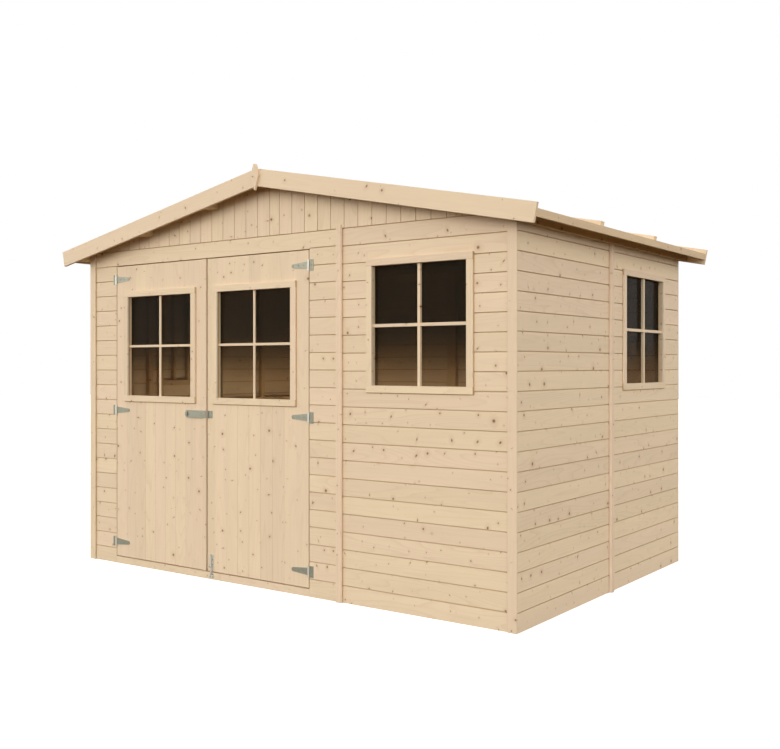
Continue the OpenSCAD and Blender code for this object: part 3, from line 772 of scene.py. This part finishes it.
def build_timber():
    for node, out in SHIPLAP.items():
        shiplap(node, out)
    gable("front_gable", -Y)
    gable("back_gable", Y)
    door_boards("left_door_boards", DOOR_BOARD)
    door_boards("right_door_boards", DOOR_FIRST)
    for node in ("roof_left", "roof_right"):
        boards_across(node, ROOF_BOARD, PLANED, None, UNDERSIDE_SHADE)
    boards_across("floor_boards", FLOOR_BOARD, PLANED, X)
    for node in PLANED_STICKS:
        sticks(node, PLANED)
    sticks("eaves_fascias", PLANED, FASCIA_SHADE)
    for node in FLAT_TRIMS:
        flat_trims(node)
    for node in SAWN_STICKS:
        sticks(node, SAWN)


# Windows


def block(low, high):
    """A box between two corners, as a mesh to add to a timber."""
    bm = bmesh.new()
    bmesh.ops.create_cube(bm, size=1.0)
    for vert in bm.verts:
        for axis in range(3):
            vert.co[axis] = high[axis] if vert.co[axis] > 0 else low[axis]
    return bm


def window(trim, name):
    """Cross bars in front of the glass. The window is found from its trim, on
    the front or on the right wall."""
    low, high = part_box(trim)
    on_front = high.y - low.y < high.x - low.x
    side = X if on_front else Y
    into = Y if on_front else -X
    bar_w, bar_d = DOOR_BAR if "door" in trim else WALL_BAR
    front = BAR_FRONT if on_front else SIDE_BAR_FRONT
    near = low.dot(side) + TRIM_W
    far = high.dot(side) - TRIM_W
    foot = low.z + TRIM_W
    head = high.z - TRIM_W
    wall = (low if on_front else high).dot(into) + TRIM_T
    mid = (near + far) / 2
    half = bar_w / 2
    level = (foot + head) / 2
    timber = Timber(name)

    def strip(s0, s1, d0, d1, z0, z1, along):
        corners = [side * s + into * (wall + d) + Z * z for s in (s0, s1) for d in (d0, d1)
                   for z in (z0, z1)]
        least = Vector([min(c[i] for c in corners) for i in range(3)])
        most = Vector([max(c[i] for c in corners) for i in range(3)])
        timber.add(block(least, most), PLANED, along)

    back = front + bar_d
    strip(mid - half, mid + half, front, back, foot, head, Z)
    for s0, s1 in ((near, mid - half), (mid + half, far)):
        strip(s0, s1, front + 4 * HAIR, back, level - half, level + half, side)
    timber.make(name, "wall_timber", body_of(trim))


def build_windows():
    for wall in ("front", "right", "left_door", "right_door"):
        window(wall + "_window_trim", wall + "_window_bars")
    for node in ("wall_window_glass", "left_door_glass", "right_door_glass"):
        paint(node, PANE)


# Ironmongery


def paint(node, material):
    """Gives a node that is shown as it is its material."""
    slots = NODES[node].data.materials
    slots.clear()
    slots.append(material)


def rounded(node):
    """Rounds the edges of a pressed or turned metal node as it is shown."""
    shape = NODES[node].modifiers.new("rounded", "BEVEL")
    shape.width = STEEL_ROUND
    shape.segments = 2
    shape.limit_method = "ANGLE"
    shape.angle_limit = math.radians(40)


def screw_head(bm, centre):
    """A raised countersunk head with a cross recess, facing -Y."""
    rings = ((1.0, 0.0), (0.96, 0.0007), (0.8, 0.0014), (0.62, 0.0018))
    count = 16
    loops = []
    for share, rise in rings:
        turns = [2 * math.pi * i / count for i in range(count)]
        loops.append([bm.verts.new(centre + Vector((math.cos(a) * SCREW_R * share, -rise,
                                                    math.sin(a) * SCREW_R * share)))
                      for a in turns])
    for outer, inner in zip(loops, loops[1:]):
        for i in range(count):
            j = (i + 1) % count
            bm.faces.new((outer[i], outer[j], inner[j], inner[i]))
    arm = SCREW_R * 0.42
    slot = SCREW_R * 0.12
    recess = 0.0014
    cross = [(arm, -slot), (arm, slot), (slot, slot), (slot, arm), (-slot, arm), (-slot, slot),
             (-arm, slot), (-arm, -slot), (-slot, -slot), (-slot, -arm), (slot, -arm),
             (slot, -slot)]
    rise = rings[-1][1]
    lip = [bm.verts.new(centre + Vector((x, -rise, z))) for x, z in cross]
    floor = [bm.verts.new(centre + Vector((x * 0.8, recess - rise, z * 0.8))) for x, z in cross]
    edges = []
    for loop in (loops[-1], lip):
        for i, vert in enumerate(loop):
            pair = (vert, loop[(i + 1) % len(loop)])
            edges.append(bm.edges.get(pair) or bm.edges.new(pair))
    bmesh.ops.triangle_fill(bm, edges=edges, use_beauty=True)
    for i in range(len(cross)):
        j = (i + 1) % len(cross)
        bm.faces.new((lip[i], lip[j], floor[j], floor[i]))
    bm.faces.new(floor)


def screws(name, body, centres):
    """All the screws on one body's fittings."""
    bm = bmesh.new()
    for centre in centres:
        screw_head(bm, centre)
    bmesh.ops.recalc_face_normals(bm, faces=bm.faces)
    mesh = bpy.data.meshes.new(name)
    bm.to_mesh(mesh)
    bm.free()
    mesh.materials.append(ZINC)
    mesh.polygons.foreach_set("use_smooth", [True] * len(mesh.polygons))
    mesh.set_sharp_from_angle(angle=math.radians(40))
    placed(mesh, name, "zinc_steel", body)


def strap_screws(node, from_left):
    """Three screws along each strap, from the knuckle to the tip."""
    centres = []
    for low, high in solid_boxes(node):
        for reach in STRAP_SCREWS:
            x = low.x + reach + KNUCKLE_R if from_left else high.x - reach - KNUCKLE_R
            centres.append(Vector((x, high.y - STEEL, (low.z + high.z) / 2)))
    return centres


def plate_screws():
    """Three screws on each hinge plate, clear of the pin."""
    centres = []
    for low, high in solid_boxes("hinge_plates"):
        left = low.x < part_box("left_door_boards")[0].x - 0.01
        x = low.x + SCREW_IN if left else high.x - SCREW_IN
        for share in (0.14, 0.5, 0.86):
            centres.append(Vector((x, high.y - STEEL, low.z + (high.z - low.z) * share)))
    return centres


def corner_screws(box, rows):
    """Screws near the upright edges of a plate, at shares of its height."""
    low, high = box
    inset = 0.0055
    return [Vector((x, high.y - STEEL, low.z + (high.z - low.z) * share))
            for x in (low.x + inset, high.x - inset) for share in rows]


def build_fittings():
    for node in ("hinge_plates", "left_hinge_straps", "right_hinge_straps", "hasp_strap",
                 "hasp_plate"):
        paint(node, ZINC)
        rounded(node)
    for node in ("bolt_barrel", "bolt_rod", "bolt_keeper"):
        paint(node, BRIGHT_ZINC)
        rounded(node)
    screws("left_strap_screws", "left_door", strap_screws("left_hinge_straps", True))
    bolt = corner_screws(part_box("bolt_barrel"), (0.36, 0.68))
    hasp_low, hasp_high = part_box("hasp_plate")
    hasp = [Vector((hasp_high.x - reach, hasp_high.y - STEEL, hasp_low.z + up))
            for reach in (0.008, 0.022) for up in (0.009, 0.033)]
    screws("right_door_screws", "right_door",
           strap_screws("right_hinge_straps", False) + bolt + hasp)
    keeper = corner_screws(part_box("bolt_keeper"), (0.25, 0.75))
    screws("frame_screws", "shed", plate_screws() + keeper)


# Camera, light and floor

# Height of the strips that light the room, and of their middle above the ground
ROOM_LIGHT_H = 0.3
ROOM_LIGHT_Z = 0.32


def build_camera():
    """The photograph's view: a level camera, with the frame shifted down."""
    data = bpy.data.cameras.new("camera")
    picture_w = 780
    focal_px = 996.1
    horizon_px = 365.08
    middle_px = 374.5
    data.sensor_fit = "HORIZONTAL"
    data.sensor_width = 36.0
    data.lens = data.sensor_width * focal_px / picture_w
    data.shift_y = (horizon_px - middle_px) / picture_w
    camera = bpy.data.objects.new("camera", data)
    camera.location = (3.6775, -5.002, 1.212)
    camera.rotation_euler = (math.radians(90), 0, math.radians(35.88))
    bpy.context.scene.collection.objects.link(camera)
    bpy.context.scene.camera = camera


def room_light(name, length, power, place, towards):
    """A soft light low in the room, level, that shows the foot of a wall."""
    light = bpy.data.lights.new(name, "AREA")
    light.shape = "RECTANGLE"
    light.size = length
    light.size_y = ROOM_LIGHT_H
    light.energy = power
    light.color = (1.0, 0.94, 0.76)
    light.spread = math.radians(75)
    lamp = bpy.data.objects.new(name, light)
    lamp.location = place
    lamp.rotation_euler = (-towards).to_track_quat("Z", "Y").to_euler()
    lamp.visible_camera = False
    lamp.visible_glossy = False
    bpy.context.scene.collection.objects.link(lamp)


def build_studio():
    """A white studio. Most of the light comes from a band of soft boxes round
    the shed, a little above eye level, and more of it from the front."""
    scene = bpy.context.scene
    scene.view_settings.view_transform = "Standard"
    scene.world = bpy.data.worlds.new("studio")
    m = Finish(scene.world)
    north, up = m.parts(m.add("TexCoord", output="Generated"))[1:]
    above = m.step(up, -0.04, 0.03)
    band = above * (1.6 - m.step(up, 0.21, 0.62) * 1.3)
    glow = (0.04 + band) * (1.0 - north * 0.3) * 1.45
    tint = m.mix(above, (1.0, 0.75, 0.45, 1.0), (1.0, 1.0, 1.0, 1.0))
    light = m.add("Background", inputs={"Color": tint, "Strength": glow})
    backdrop = m.add("Background", inputs={"Color": (1.0, 1.0, 1.0, 1.0), "Strength": 1.0})
    seen = m.add("LightPath", output="Is Camera Ray")
    both = m.add("MixShader", inputs={0: seen, 1: light, 2: backdrop})
    m.add("OutputWorld", inputs={"Surface": both})

    room_light("back_wall_light", 2.5, 10.0, (0.0, -0.6, ROOM_LIGHT_Z), Y)
    room_light("left_wall_light", 1.5, 6.2, (0.3, 0.0, ROOM_LIGHT_Z), -X)

    mesh = bpy.data.meshes.new("floor")
    reach = 30.0
    corners = [(-reach, -reach, 0), (reach, -reach, 0), (reach, reach, 0), (-reach, reach, 0)]
    mesh.from_pydata(corners, [], [(0, 1, 2, 3)])
    pale = Finish(bpy.data.materials.new("pale_floor"))
    mesh.materials.append(pale.surface({"Base Color": (0.9, 0.9, 0.9, 1.0), "Roughness": 0.9,
                                        "Emission Color": (1.0, 1.0, 1.0, 1.0),
                                        "Emission Strength": 0.6}))
    floor = bpy.data.objects.new("floor", mesh)
    floor.location.z = -0.0005
    floor.visible_diffuse = False
    floor.visible_glossy = False
    floor.visible_shadow = False
    scene.collection.objects.link(floor)


build_camera()
build_timber()
build_windows()
build_fittings()
build_studio()
